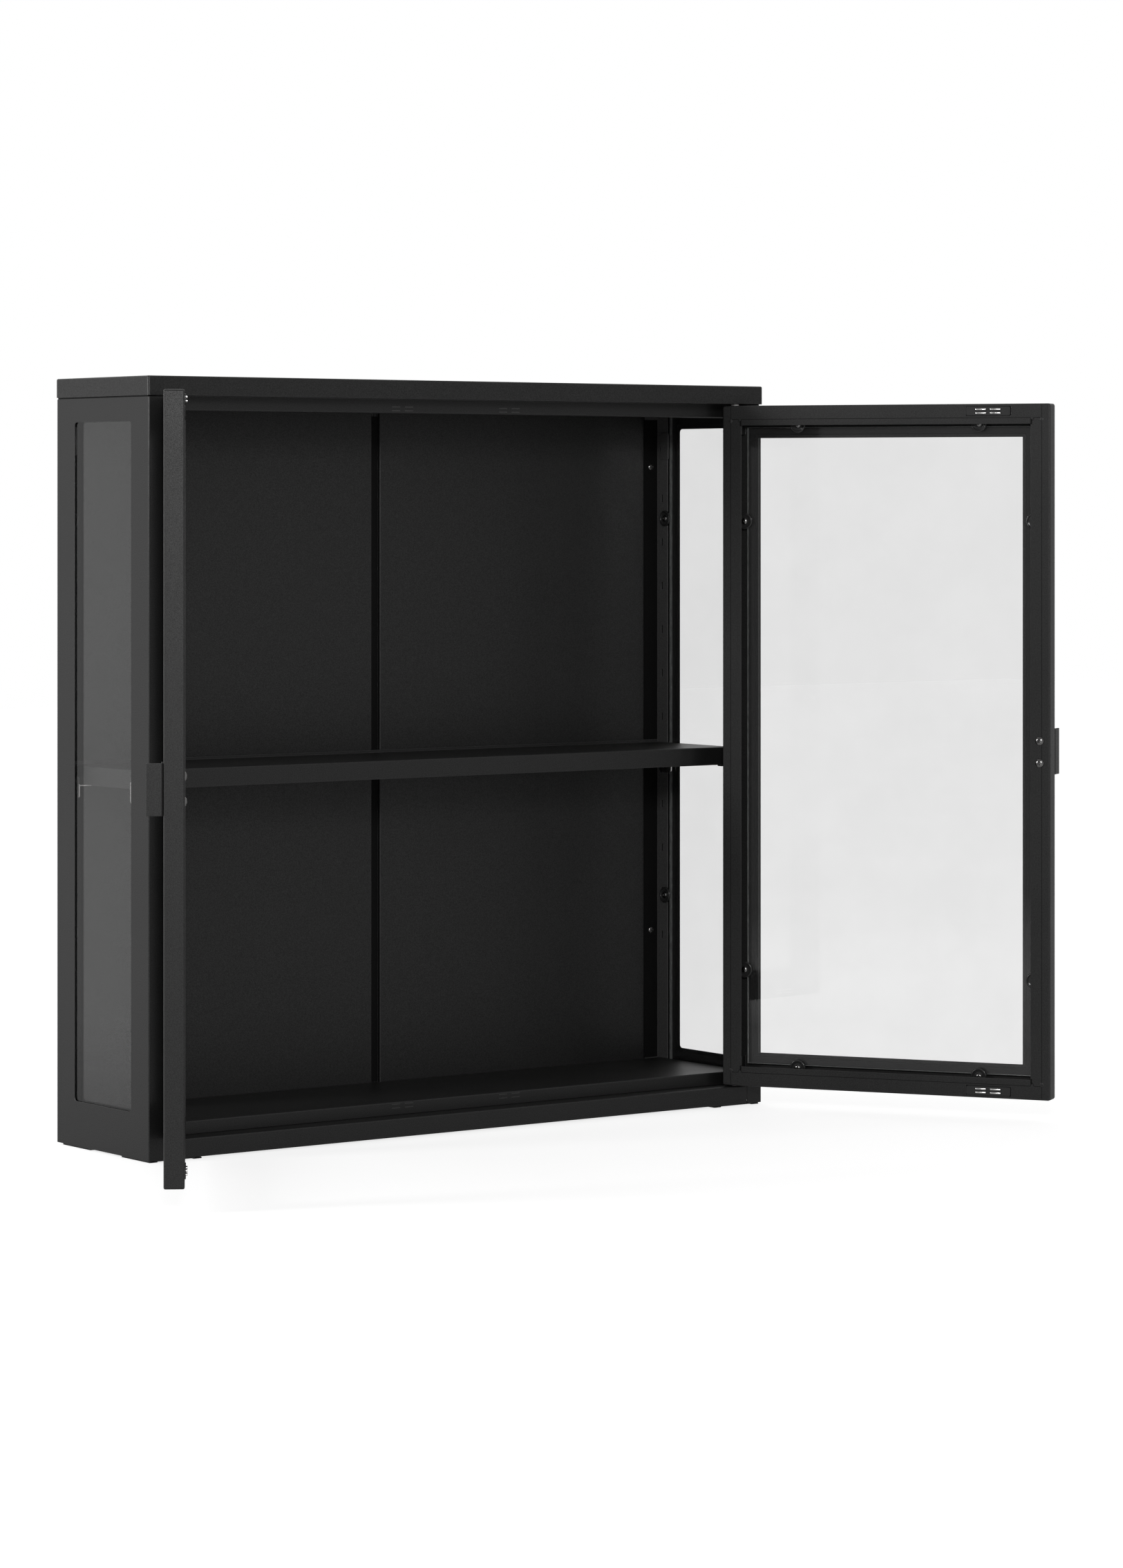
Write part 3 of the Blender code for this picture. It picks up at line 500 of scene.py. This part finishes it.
FINISHES = {
    "coat": powder_coat("satin_powder_coat", 0.0045, 0.0150),
    # A lighter copy of the coat for the uprights and corner plates: painted light, standing in for the light
    # from the front left that falls on their faces
    "upright": powder_coat("satin_coat_painted_light", 0.0480, 0.0960),
    "glass": clear_glass(),
    "glass_edge": glass_edge(),
    # Matt black: the door seams' own colour, and painted shade on the strips in the groove, the recesses and
    # the joint strip
    "joint": matt_black(),
    "bright": zinc("zinc_plated_steel", 0.74, 0.22, 0.15),
    "pole": zinc("ground_pole_steel", 0.88, 0.30, 0.10),
    "mark": zinc("rubbed_paint", 0.10, 0.42, 0.30),
    "screw": zinc("blackened_screw_steel", 0.26, 0.20, 0.12),
    "plastic": moulded("black_moulded_plastic", 0.017, 0.38, 0.25),
    "smoke": moulded("smoky_nylon", 0.022, 0.24, 0.12),
    "pad": moulded("pad_rubber", 0.024, 0.62, 0.45),
    "nylon": moulded("natural_nylon", 0.74, 0.42, 0.15, 0.02),
    "strip": moulded("glazing_strip_foam", 0.012, 0.80, 0.60),
    # Near black for the gap under the cap: painted shade
    "gap_shade_black": moulded("painted_gap_shade", 0.004, 0.90, 0.60),
}


# Pieces


def add(name, mesh, finish, body, place=None, replaces=(), second=None):
    """Puts a piece in the scene and on its CAD body."""
    piece = bpy.data.objects.new(name, mesh)
    bpy.context.scene.collection.objects.link(piece)
    if not mesh.materials:
        mesh.materials.append(FINISHES[finish])
        if second:
            mesh.materials.append(FINISHES[second])
    if place is not None:
        piece.matrix_world = place
    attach(piece, body)
    if replaces:
        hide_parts(*replaces)
    return piece


def laid(shape, place):
    """A shape drawn in a door's measures, moved to where the door is at rest."""
    bmesh.ops.transform(shape, matrix=place, verts=shape.verts)
    return shape


def weld_group():
    """Joins the loose triangles of a CAD mesh and shades them smooth."""
    group = bpy.data.node_groups.new("weld_and_smooth", "GeometryNodeTree")
    group.interface.new_socket("Geometry", in_out="INPUT", socket_type="NodeSocketGeometry")
    group.interface.new_socket("Geometry", in_out="OUTPUT", socket_type="NodeSocketGeometry")
    start = group.nodes.new("NodeGroupInput")
    merge = group.nodes.new("GeometryNodeMergeByDistance")
    merge.inputs["Distance"].default_value = WELD_DISTANCE
    smooth = group.nodes.new("GeometryNodeSetShadeSmooth")
    end = group.nodes.new("NodeGroupOutput")
    group.links.new(start.outputs[0], merge.inputs["Geometry"])
    group.links.new(merge.outputs["Geometry"], smooth.inputs["Geometry"])
    group.links.new(smooth.outputs["Geometry"], end.inputs[0])
    return group


WELD = weld_group()


def refine(node, finish, edge=CUT_EDGE, segments=2):
    """Gives a CAD node its finish and rounds its cut edges."""
    piece = frame["nodes"][node]
    for index in range(len(piece.material_slots)):
        piece.material_slots[index].link = "OBJECT"
        piece.material_slots[index].material = FINISHES[finish]
    piece.modifiers.new("weld", "NODES").node_group = WELD
    bevel = piece.modifiers.new("cut_edges", "BEVEL")
    bevel.limit_method = "ANGLE"
    bevel.angle_limit = SHARP_FROM
    bevel.width = edge
    bevel.segments = segments
    bevel.use_clamp_overlap = False
    normals = piece.modifiers.new("normals", "WEIGHTED_NORMAL")
    normals.weight = 60


# Door details


def inlay(points, low, high, width):
    """Thin bars along a run of (u, w) points, from one depth behind the outer face to another."""
    bars = []
    for start, end in zip(points, points[1:]):
        start, end = Vector(start), Vector(end)
        along = (end - start).normalized() * width / 2
        across = Vector((-along.y, along.x))
        first, last = start - along, end + along
        corners = (first - across, last - across, last + across, first + across)
        bars.append(layered([(corners, low), (corners, high)]))
    return bars


def seam_runs(size):
    """Seams of the rear flange as runs of (u, w) points, for a door of this size."""
    width, height = size.x, size.z
    notch = DOOR_FLANGE - RELIEF_WIDTH - NOTCH_WIDTH / 2
    quarter = (
        (STILE_SEAM, RAIL_SEAM + SEAM_CHAMFER),
        (STILE_SEAM + SEAM_CHAMFER, RAIL_SEAM),
        (notch, RAIL_SEAM),
        (notch + NOTCH_WIDTH * 0.3, RAIL_SEAM + NOTCH_DEPTH),
        (notch + NOTCH_WIDTH * 0.7, RAIL_SEAM + NOTCH_DEPTH),
        (notch + NOTCH_WIDTH, RAIL_SEAM),
        (width / 2, RAIL_SEAM),
    )
    runs = []
    for low in (True, False):
        for hinge in (True, False):
            runs.append([(u if hinge else width - u, w if low else height - w) for u, w in quarter])
    for u in (STILE_SEAM, width - STILE_SEAM):
        runs.append([(u, SHEET * 2), (u, height - SHEET * 2)])
    return runs


def door_seams(side):
    """Dark seams of the folded rear flange, and the relief slots at its inner corners."""
    place, size = DOORS[side]
    levels = (size.y - SHEET / 2, size.y + SEAM_STANDS)
    bars = []
    for run in seam_runs(size):
        bars += inlay(run, *levels, SEAM_WIDTH)
    for inward, edge in ((1, 0), (-1, size.z)):
        low, high = edge + inward * (DOOR_FLANGE - RELIEF_LENGTH), edge + inward * DOOR_FLANGE
        for across, corner in ((1, 0), (-1, size.x)):
            u = corner + across * (DOOR_FLANGE - RELIEF_WIDTH / 2)
            bars += inlay([(u, low), (u, high)], *levels, RELIEF_WIDTH)
    add(f"{side}_door_seams", mesh_of("seams", laid(join(bars), place)), "joint", f"{side}_door")


def tack_welds(side):
    """Low painted-over weld beads where the seams of the rear flange meet."""
    place, size = DOORS[side]
    profile = [
        (TACK_RADIUS, -TACK_HEIGHT / 2),
        *dome(TACK_RADIUS, TACK_HEIGHT, 5),
        (TACK_RADIUS * 0.05, TACK_HEIGHT),
    ]
    beads = []
    for u in (STILE_SEAM, size.x - STILE_SEAM):
        for w in (RAIL_SEAM + TACK_RADIUS, size.z - RAIL_SEAM - TACK_RADIUS):
            spot = Matrix.Translation((u, size.y, w)) @ Matrix.Rotation(-90 * DEGREE, 4, "X")
            beads.append(laid(turned(profile, 28), place @ spot))
    add(f"{side}_door_tack_welds", mesh_of("tack_welds", join(beads)), "coat", f"{side}_door")


def cross_recess(top, length, depth):
    """Two crossed tapering cutters of a cross-head recess."""
    cutters = []
    for turn in (0, 90):
        rings = []
        for share, level in ((0.42, top - depth), (1.0, top + depth * 0.4)):
            half_length, half_width = length / 2 * share, length * 0.105 * share + length * 0.03
            outline = ((-1, -1), (1, -1), (1, 1), (-1, 1))
            rings.append([(x * half_length, y * half_width, level) for x, y in outline])
        cutter = grid_skin(rings)
        bmesh.ops.rotate(cutter, matrix=Matrix.Rotation(turn * DEGREE, 3, "Z"), verts=cutter.verts)
        cutters.append(cutter)
    return cutters


def screw_mesh(name, radius, height, shank):
    """Domed cross-head screw that stands on Z = 0."""
    rim = height * 0.08
    profile = [
        (radius * 0.42, -shank),
        (radius * 0.42, 0),
        (radius * 0.96, 0),
        *[(x, rim + level) for x, level in dome(radius, height - rim, 9)],
        (radius * 0.04, height),
    ]
    return carved(name, turned(profile, 48), cross_recess(height, radius * 1.15, height * 0.75))


def cup_mesh(name, radius, height, rim):
    """Cup washer of a glass retainer: a round raised rim about a sunk seat for the screw."""
    seat, inner, ease = height * 0.42, radius - rim * 2, 0.0003
    profile = [
        (radius * 0.2, 0),
        (radius - ease, 0),
        (radius, ease),
        *arc((radius - rim, height - rim), rim, 0, 180, 10),
        (inner - 0.0002, seat + 0.0004),
        (inner - 0.0007, seat),
        (radius * 0.52, seat),
        (radius * 0.50, seat + ease),
        (radius * 0.2, seat + ease),
    ]
    return mesh_of(name, turned(profile, 56))


SCREWS = {kind: screw_mesh(f"{kind}_screw", *sizes) for kind, sizes in SCREW_SIZES.items()}
CUP = cup_mesh("retainer_cup", RETAINER_RADIUS, RETAINER_HEIGHT, RETAINER_RIM)


def make_retainer(name, point, direction, body, replaces=()):
    """Cup washer over the edge of a pane, and its screw."""
    place = facing(point, direction)
    add(f"{name}_cup", CUP, "smoke", body, place, replaces)
    seat = place @ Matrix.Translation((0, 0, RETAINER_SEAT)) @ Matrix.Rotation(RETAINER_SCREW_TURN, 4, "Z")
    add(f"{name}_screw", SCREWS["retainer"], "screw", body, seat)


def pole_points(x, z):
    """Middles of the four pole plates of a catch about a point."""
    for across in (-POLE_SPREAD / 2, POLE_SPREAD / 2):
        for up in (-POLE_PITCH / 2, POLE_PITCH / 2):
            yield x + across, z + up


def plate_outline(x, z, length, width, corner, steps):
    """Rectangle with round corners about a point."""
    return rounded((x - length / 2, z - width / 2), (x + length / 2, z + width / 2), corner, steps)


def magnet_catch(side, end):
    """Housing let into the rear flange and four ground pole plates that stand proud of it."""
    place, size = DOORS[side]
    body, node = f"{side}_door", f"{side}_{end}_magnet"
    low, high = box_in(place, node)
    middle, span, rear = (low + high) / 2, high - low, size.y
    eased = (span.x - HOUSING_EASE * 2, span.z - HOUSING_EASE * 2)
    outline = plate_outline(middle.x, middle.z, span.x, span.z, HOUSING_CORNER, 5)
    inset = plate_outline(middle.x, middle.z, *eased, HOUSING_CORNER - HOUSING_EASE, 5)
    housing = layered((
        (inset, low.y),
        (outline, low.y + HOUSING_EASE),
        (outline, rear + HOUSING_PROUD - HOUSING_EASE),
        (inset, rear + HOUSING_PROUD),
    ))
    add(f"{node}_housing", mesh_of(node, laid(housing, place)), "plastic", body, None, (node,))
    plates = []
    for x, z in pole_points(middle.x, middle.z):
        face = plate_outline(x, z, POLE_LENGTH, POLE_WIDTH, POLE_CORNER, 2)
        top = plate_outline(x, z, POLE_LENGTH - POLE_EASE * 2, POLE_WIDTH - POLE_EASE * 2, POLE_EASE, 2)
        plates.append(layered((
            (face, rear - SHEET),
            (face, rear + POLE_PROUD - POLE_EASE),
            (top, rear + POLE_PROUD),
        )))
    add(f"{node}_poles", mesh_of("poles", laid(join(plates), place)), "pole", body)


def closed_hinge_edge(side):
    """X of a door's hinge edge when the door is closed."""
    pivot = Vector(hinge_of(side)["pos_m"])
    in_door = DOORS[side][0].inverted() @ pivot
    return pivot.x + side_sign(side) * in_door.x


def contact_marks(side, end):
    """Paint rubbed bright where a catch's pole plates meet the cabinet."""
    low, high = box_in(DOORS[side][0], f"{side}_{end}_magnet")
    middle = (low + high) / 2
    x_middle = closed_hinge_edge(side) - side_sign(side) * middle.x
    z_middle = middle.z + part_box(f"{side}_door_frame")[0].z
    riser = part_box("floor_tray")[0].y
    marks = []
    for x, z in pole_points(x_middle, z_middle):
        outline = plate_outline(x, z, POLE_LENGTH * 0.92, POLE_WIDTH * 0.60, POLE_CORNER, 3)
        marks.append(layered(((outline, riser + MARK_SUNK), (outline, riser - MARK_STANDS))))
    add(f"{side}_{end}_contact_marks", mesh_of("marks", join(marks)), "mark", "cabinet")


def make_pane(name, low, high, thin_axis, place, body, replaces):
    """Sheet of glass with ground, arrissed edges; its two faces are clear."""
    shape = block(low, high)
    bmesh.ops.bevel(shape, geom=list(shape.edges), offset=ARRIS, segments=2, profile=0.5, affect="EDGES")
    shape.normal_update()
    for face in shape.faces:
        face.material_index = 0 if abs(face.normal[thin_axis]) > 0.999 and face.calc_area() > 0.01 else 1
    if place is not None:
        laid(shape, place)
    add(name, mesh_of(name, shape, GLASS_SHARP_FROM), "glass", body, None, (replaces,), "glass_edge")


def ring_strip(outer_low, outer_high, width, levels, axis_order):
    """Flat rectangular ring between two levels; axis_order maps (a, b, level) to X, Y, Z."""
    def outline(inset, radius):
        low = (outer_low[0] + inset, outer_low[1] + inset)
        high = (outer_high[0] - inset, outer_high[1] - inset)
        return rounded(low, high, radius, 4)

    outer, inner = outline(0, STRIP_CORNERS[0]), outline(width, STRIP_CORNERS[1])
    rings = [(outer, levels[0]), (outer, levels[1]), (inner, levels[1]), (inner, levels[0])]
    points = []
    for ring, level in rings:
        points.append([tuple((a, b, level)[index] for index in axis_order) for a, b in ring])
    return grid_skin(points, closed=True)


def door_pane(side):
    """Pane of a door, and the black strip that it lies on. Gives back the depth of its inner face."""
    place, size = DOORS[side]
    node = f"{side}_door_glass"
    low, high = box_in(place, node)
    make_pane(f"{side}_door_pane", low, high, 1, place, f"{side}_door", node)
    strip = ring_strip(
        (STRIP_INSET, STRIP_INSET),
        (size.x - STRIP_INSET, size.z - STRIP_INSET),
        STRIP_WIDTH,
        (SHEET + TOUCH, low.y - TOUCH),
        (0, 2, 1),
    )
    add(f"{side}_door_glazing_strip", mesh_of("strip", laid(strip, place)), "strip", f"{side}_door")
    return high.y


def door_retainers(side, inner_face, inward):
    """Glass retainers of a door, in the places of the plain ones of the CAD."""
    place = DOORS[side][0]
    for node in sorted(frame["nodes"]):
        if node.startswith(side) and node.endswith("_retainer"):
            low, high = box_in(place, node)
            point = (low + high) / 2
            point.y = inner_face + TOUCH * 2
            make_retainer(node, place @ point, inward, f"{side}_door", (node,))


def handle_screws(side, inward):
    """Two pan heads on the rear flange, behind the handle."""
    place, size = DOORS[side]
    low, high = box_in(place, f"{side}_handle")
    middle = (low.z + high.z) / 2
    for number, turn in enumerate(HANDLE_SCREW_TURNS, 1):
        level = middle + (number - 1.5) * HANDLE_SCREW_SPREAD
        point = Vector((size.x - HANDLE_SCREW_FROM_EDGE, size.y, level))
        where = facing(place @ point, inward) @ Matrix.Rotation(turn, 4, "Z")
        add(f"{side}_handle_screw_{number}", SCREWS["handle"], "screw", f"{side}_door", where)


def make_door(side):
    inward = DOORS[side][0].to_3x3() @ Vector((0, 1, 0))
    refine(f"{side}_door_frame", "coat")
    door_seams(side)
    refine(f"{side}_handle", "coat", HANDLE_EDGE)
    tack_welds(side)
    for end in ("lower", "upper"):
        magnet_catch(side, end)
        contact_marks(side, end)
    inner_face = door_pane(side)
    door_retainers(side, inner_face, inward)
    handle_screws(side, inward)


# Carcase details


def cap_gap_shade(side):
    """Black strip in the shadow gap between the cap and a side panel: painted shade, which also keeps light
    from showing through the gap.
    """
    low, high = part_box(f"{side}_side_panel")
    outer = outermost(f"{side}_side_panel") - GAP_SHADE_INSET
    across = sorted(side_sign(side) * x for x in (outer, outer - GAP_SHADE_WIDTH))
    start = (across[0], low.y + GAP_SHADE_WIDTH, high.z - GAP_SHADE_WIDTH)
    end = (across[1], high.y - SHEET, high.z + GAP_SHADE_RISE)
    add(f"{side}_cap_gap_shade", mesh_of("cap_gap_shade", block(start, end)), "gap_shade_black", "cabinet")


def shade_strip_levels():
    """Lower and upper end of the painted shade strips, between the floor of the cabinet and the header."""
    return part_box("floor_tray")[1].z + GAP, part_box("header_rail")[0].z - GAP


def shade_strips(side):
    """Black strips of painted shade in the recess beside a back pan, and behind the slots of the rear
    upright, where there is only shade.
    """
    web = outermost(f"{side}_back_pan")
    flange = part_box(f"{side}_rear_upright")[1].y - SHEET
    bottom, top = shade_strip_levels()
    strips = (
        ((PAN_EDGE + GAP * 3, flange - GAP * 2), (web - GAP * 2, flange - GAP / 2)),
        ((web + SHEET + GAP, SLOT_Y - SHADE_STRIP_REACH), (web + SHEET + GAP * 3, SLOT_Y + SHADE_STRIP_REACH)),
    )
    shapes = []
    for (x_low, y_low), (x_high, y_high) in strips:
        across = sorted(side_sign(side) * x for x in (x_low, x_high))
        shapes.append(block((across[0], y_low, bottom), (across[1], y_high, top)))
    add(f"{side}_shade_strips", mesh_of("painted_shade_strip", join(shapes)), "joint", "cabinet")


def joint_shade():
    """Black strip of painted shade in the groove between the two back pans."""
    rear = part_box("right_back_pan")[1].y - SHEET
    bottom, top = shade_strip_levels()
    half = PAN_INNER_EDGE - SHEET / 2
    shape = block((-half, rear - GAP * 2, bottom), (half, rear - GAP / 2, top))
    add("back_joint_shade", mesh_of("painted_shade_strip", shape), "joint", "cabinet")


def side_pane(side):
    """Pane behind a side window, and the black strip that it lies on."""
    sign, node = side_sign(side), f"{side}_side_glass"
    low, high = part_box(node)
    make_pane(f"{side}_side_pane", low, high, 0, None, "cabinet", node)
    outer = outermost(node)
    strip = ring_strip(
        (low.y + SIDE_STRIP_INSET[0], low.z + SIDE_STRIP_INSET[1]),
        (high.y - SIDE_STRIP_INSET[0], high.z - SIDE_STRIP_INSET[1]),
        SIDE_STRIP_WIDTH,
        (sign * (outer + TOUCH), sign * (outer + SIDE_STRIP_REACH)),
        (2, 0, 1),
    )
    add(f"{side}_side_glazing_strip", mesh_of("strip", strip), "strip", "cabinet")


def side_retainers(side):
    """Glass retainers on both edges of a side pane."""
    sign = side_sign(side)
    web = sign * (outermost(f"{side}_corner_plate") + TOUCH * 2)
    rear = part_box(f"{side}_rear_upright")[0].y + SIDE_RETAINER_OVERLAP
    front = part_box(f"{side}_front_upright")[1].y - SIDE_RETAINER_OVERLAP
    for height, level in zip(("upper", "lower"), SIDE_RETAINER_LEVELS):
        for end, y in (("rear", rear), ("front", front)):
            name = f"{side}_side_{end}_{height}_retainer"
            make_retainer(name, (web, y, level), (-sign, 0, 0), "cabinet")


def back_screws(side):
    """Screws through the flange of a rear upright."""
    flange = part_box(f"{side}_rear_upright")[1].y - SHEET
    for height, level in zip(("upper", "lower"), BACK_SCREW_LEVELS):
        where = facing((side_sign(side) * BACK_SCREW_X, flange, level), (0, -1, 0))
        add(f"{side}_back_screw_{height}", SCREWS["back"], "screw", "cabinet", where)


def make_carcase_side(side):
    refine(f"{side}_side_panel", "coat")
    # Uprights and corner plates get the lighter copy of the coat, which paints the light falling on them
    refine(f"{side}_rear_upright", "upright")
    refine(f"{side}_front_upright", "upright")
    refine(f"{side}_back_pan", "coat")
    refine(f"{side}_corner_plate", "upright")
    for end in ("lower", "upper"):
        refine(f"{side}_{end}_pin", "bright", PIN_EDGE)
        refine(f"{side}_{end}_washer", "nylon", PIN_EDGE)
    for end in ("front", "rear"):
        refine(f"{end}_{side}_shelf_clip", "bright", CLIP_EDGE)
        refine(f"{end}_{side}_foot", "pad", FOOT_EDGE, segments=3)
    side_pane(side)
    cap_gap_shade(side)
    shade_strips(side)
    side_retainers(side)
    back_screws(side)


def make_carcase():
    for node in ("top_cap", "header_rail", "base_rail", "floor_tray"):
        refine(node, "coat")
    # The joint strip is coloured near black: painted shade in the groove between the back pans
    refine("back_joint_strip", "joint")
    refine("shelf", "coat")
    joint_shade()
    for side in ("left", "right"):
        make_carcase_side(side)


# Stage


def make_stage():
    """Plain pale floor that the cabinet stands on."""
    shape = bmesh.new()
    bmesh.ops.create_grid(shape, x_segments=1, y_segments=1, size=FLOOR_REACH)
    floor = bpy.data.objects.new("floor", mesh_of("floor", shape))
    floor.data.materials.append(floor_finish())
    floor.location = (0, 0, cad_box[0].z)
    bpy.context.scene.collection.objects.link(floor)


def make_world():
    """Pale surroundings behind and beside the cabinet, and a dim room in front of it."""
    world = bpy.data.worlds.new("studio")
    world.use_nodes = True
    tree = world.node_tree
    tree.nodes.clear()
    split = tree.nodes.new("ShaderNodeSeparateXYZ")
    tree.links.new(tree.nodes.new("ShaderNodeTexCoord").outputs["Generated"], split.inputs[0])

    def ramp(value, start, end, low, high):
        made = tree.nodes.new("ShaderNodeMapRange")
        made.interpolation_type = "SMOOTHSTEP"
        for index, setting in enumerate((value, start, end, low, high)):
            if isinstance(setting, bpy.types.NodeSocket):
                tree.links.new(setting, made.inputs[index])
            else:
                made.inputs[index].default_value = setting
        return made.outputs[0]

    room = ramp(split.outputs["X"], *ROOM_ACROSS, *ROOM_LEVELS)
    backdrop = ramp(split.outputs["X"], *BACKDROP_ACROSS, *BACKDROP_LEVELS)
    faded = ramp(split.outputs["X"], *BACKDROP_END, backdrop, BACKDROP_END_LEVEL)
    lit = ramp(split.outputs["Y"], *BACKDROP_EDGE, room, faded)
    seen = tree.nodes.new("ShaderNodeLightPath").outputs["Is Camera Ray"]
    strength = ramp(seen, 0.0, 1.0, lit, 1.0)
    background = tree.nodes.new("ShaderNodeBackground")
    background.inputs["Color"].default_value = grey(1.0)
    tree.links.new(strength, background.inputs["Strength"])
    output = tree.nodes.new("ShaderNodeOutputWorld")
    tree.links.new(background.outputs[0], output.inputs["Surface"])
    bpy.context.scene.world = world


def softbox(name, place, target, size, power):
    light = bpy.data.lights.new(name, "AREA")
    light.shape = "RECTANGLE"
    light.size, light.size_y = size
    light.energy = power
    lamp = bpy.data.objects.new(name, light)
    lamp.location = place
    lamp.visible_camera = False
    lamp.rotation_euler = (Vector(target) - Vector(place)).to_track_quat("-Z", "Y").to_euler()
    bpy.context.scene.collection.objects.link(lamp)


def make_camera():
    data = bpy.data.cameras.new("camera")
    data.lens = CAMERA_LENS
    data.sensor_width = CAMERA_SENSOR
    data.shift_y = CAMERA_SHIFT
    camera = bpy.data.objects.new("camera", data)
    camera.location = CAMERA_PLACE
    camera.rotation_euler = (90 * DEGREE, 0, -CAMERA_YAW)
    bpy.context.scene.collection.objects.link(camera)
    bpy.context.scene.camera = camera


bpy.context.scene.view_settings.view_transform = "Standard"
make_camera()
make_stage()
make_world()
for lamp_settings in SOFTBOXES:
    softbox(*lamp_settings)
make_carcase()
for door_side in ("left", "right"):
    make_door(door_side)
